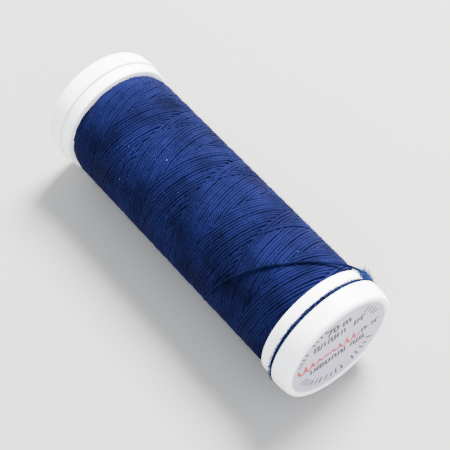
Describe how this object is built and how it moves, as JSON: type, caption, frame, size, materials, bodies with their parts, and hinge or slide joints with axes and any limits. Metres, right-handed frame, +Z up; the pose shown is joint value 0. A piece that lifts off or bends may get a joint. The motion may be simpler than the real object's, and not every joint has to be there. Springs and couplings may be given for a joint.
{
  "type": "spool of sewing thread",
  "caption": "Plastic spool with a cross-wound package of sewing thread, end caps that pull out to open a thread-lock groove, round paper end labels and a spool pin hole.",
  "frame": {"origin": "on the surface that the spool lies on, under its axis and the middle of its barrel, 0.3 mm from the middle of its length", "axes": "+X along the spool's axis towards the labelled near end, -X out of the spool pin hole, +Z up"},
  "size_m": [0.0601, 0.0208, 0.0207],
  "materials": {
    "spool_plastic": "satin white moulded plastic",
    "label_paper": "matt coated paper with plain print",
    "thread": "spun polyester thread, slightly hairy"
  },
  "bodies": {
    "spool": {"barrel_tube": "spool_plastic", "near_flange_head": "spool_plastic", "far_flange_head": "spool_plastic", "thread_winding": "thread", "thread_tail": "thread"},
    "near_end": {"near_cap": "spool_plastic", "near_label": "label_paper"},
    "far_end": {"far_cap": "spool_plastic", "far_label": "label_paper"}
  },
  "joints": [
    {"name": "near_cap_slide", "type": "slide", "parent": "spool", "child": "near_end", "axis": [1, 0, 0], "range_m": [0, 0.0018]},
    {"name": "far_cap_slide", "type": "slide", "parent": "spool", "child": "far_end", "axis": [-1, 0, 0], "range_m": [0, 0.00235]}
  ]
}
